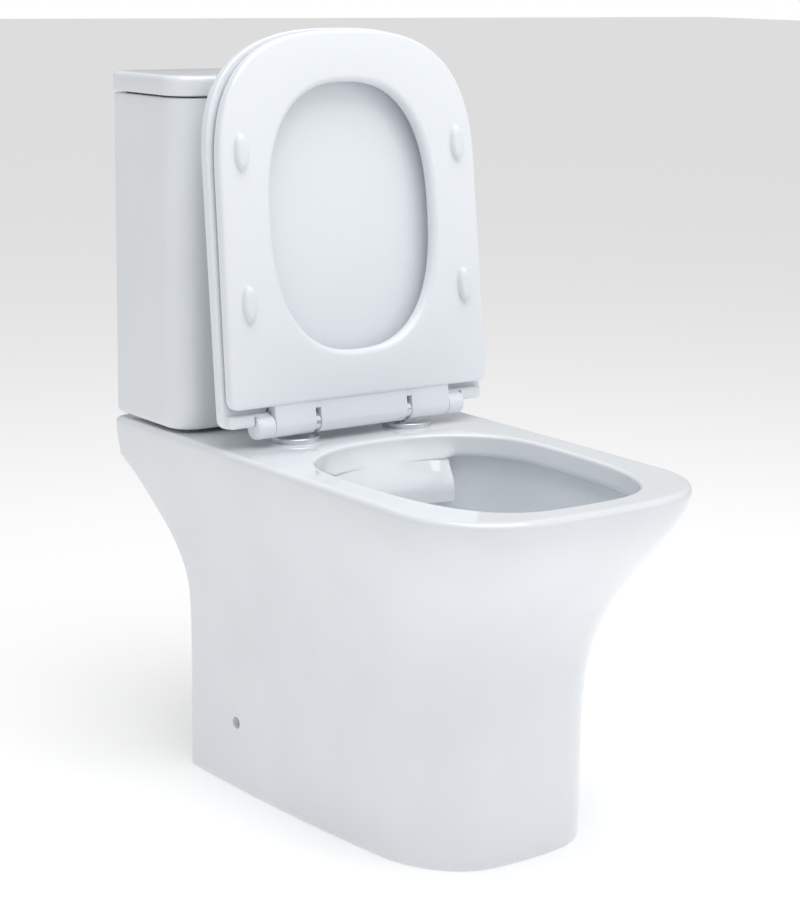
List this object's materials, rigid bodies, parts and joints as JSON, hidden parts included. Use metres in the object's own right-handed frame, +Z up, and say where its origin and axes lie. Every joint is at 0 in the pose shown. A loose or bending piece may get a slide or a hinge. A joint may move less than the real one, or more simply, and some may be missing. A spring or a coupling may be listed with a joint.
{
  "type": "close coupled toilet",
  "caption": "Close coupled toilet with a flared pan, a cistern standing on its deck, a hinged seat and cover, dual flush buttons and an open-backed foot.",
  "frame": {"origin": "on the floor, under the middle of the whole object", "axes": "+Z up, -Y to the front of the bowl, +X to the object's left as it faces forward; the wall is the plane Y = +0.330 m"},
  "size_m": [0.36, 0.6595, 0.8479],
  "materials": {
    "china": "gloss glazed vitreous china",
    "seat_plastic": "gloss duroplast",
    "chrome": "polished",
    "satin_metal": "satin",
    "buffer_plastic": "soft translucent white",
    "white_plastic": "moulded",
    "blue_plastic": "moulded",
    "rubber": "matte",
    "foam": "closed cell foam",
    "zinc_steel": "zinc plated"
  },
  "bodies": {
    "root": {"pan_bowl": "china", "pan_deck": "china", "pan_foot": "china", "pan_trapway": "china", "cistern_tank": "china", "lid_pads": "rubber", "flush_valve_body": "white_plastic", "flush_valve_washer": "rubber", "flush_valve_nut": "white_plastic", "coupling_gasket": "foam", "coupling_bolts": "zinc_steel", "coupling_seals": "rubber", "coupling_washers": "zinc_steel", "coupling_nuts": "white_plastic", "fill_valve_body": "white_plastic", "fill_valve_head": "blue_plastic", "fill_lever_pin": "zinc_steel", "fill_valve_washer": "rubber", "fill_valve_nut": "white_plastic", "hinge_bolts": "zinc_steel", "hinge_washers": "rubber", "hinge_nuts": "white_plastic", "hinge_rosette_left": "satin_metal", "hinge_rosette_right": "satin_metal", "hinge_post_left": "chrome", "hinge_post_right": "chrome", "hinge_pin_left": "zinc_steel", "hinge_pin_right": "zinc_steel"},
    "cover": {"cover": "seat_plastic", "cover_buffers": "buffer_plastic", "damper_spindle_left": "zinc_steel", "damper_spindle_right": "zinc_steel", "hinge_cap_left": "chrome", "hinge_cap_right": "chrome"},
    "seat": {"seat": "seat_plastic", "seat_buffers": "buffer_plastic", "damper_left": "white_plastic", "damper_right": "white_plastic"},
    "lid": {"cistern_lid": "china", "button_sleeve": "chrome", "button_nut": "white_plastic"},
    "full_flush": {"full_flush_button": "chrome", "full_flush_push_rod": "white_plastic"},
    "half_flush": {"half_flush_button": "chrome", "half_flush_push_rod": "white_plastic"},
    "riser": {"flush_valve_riser": "blue_plastic", "flush_valve_seal": "rubber"},
    "float": {"fill_float": "white_plastic", "float_rod": "white_plastic"},
    "lever": {"fill_lever": "white_plastic"}
  },
  "joints": [
    {"name": "cover_hinge", "type": "hinge", "parent": "root", "child": "cover", "pos_m": [0, 0.09, 0.4225], "axis": [1, 0, 0], "range_deg": [0, 96.3]},
    {"name": "seat_hinge", "type": "hinge", "parent": "cover", "child": "seat", "pos_m": [0, 0.09, 0.4225], "axis": [-1, 0, 0], "range_deg": [-96.3, 0]},
    {"name": "lid_lift", "type": "slide", "parent": "root", "child": "lid", "axis": [0, 0, 1], "range_m": [0, 0.08]},
    {"name": "full_flush_press", "type": "slide", "parent": "lid", "child": "full_flush", "axis": [0, 0, -1], "range_m": [0, 0.006], "stiffness_N_per_m": 250, "springref_m": -0.002},
    {"name": "half_flush_press", "type": "slide", "parent": "lid", "child": "half_flush", "axis": [0, 0, -1], "range_m": [0, 0.006], "stiffness_N_per_m": 250, "springref_m": -0.002},
    {"name": "riser_lift", "type": "slide", "parent": "root", "child": "riser", "axis": [0, 0, 1], "range_m": [0, 0.018]},
    {"name": "float_drop", "type": "slide", "parent": "root", "child": "float", "axis": [0, 0, -1], "range_m": [0, 0.01]},
    {"name": "lever_turn", "type": "hinge", "parent": "root", "child": "lever", "pos_m": [-0.125, 0.254, 0.72], "axis": [1, 0, 0], "range_deg": [0, 24]}
  ],
  "couplings": [
    {"joint": "riser_lift", "follows": "full_flush_press", "ratio": 3},
    {"joint": "lever_turn", "follows": "float_drop", "rad_per_m": 38.397}
  ]
}
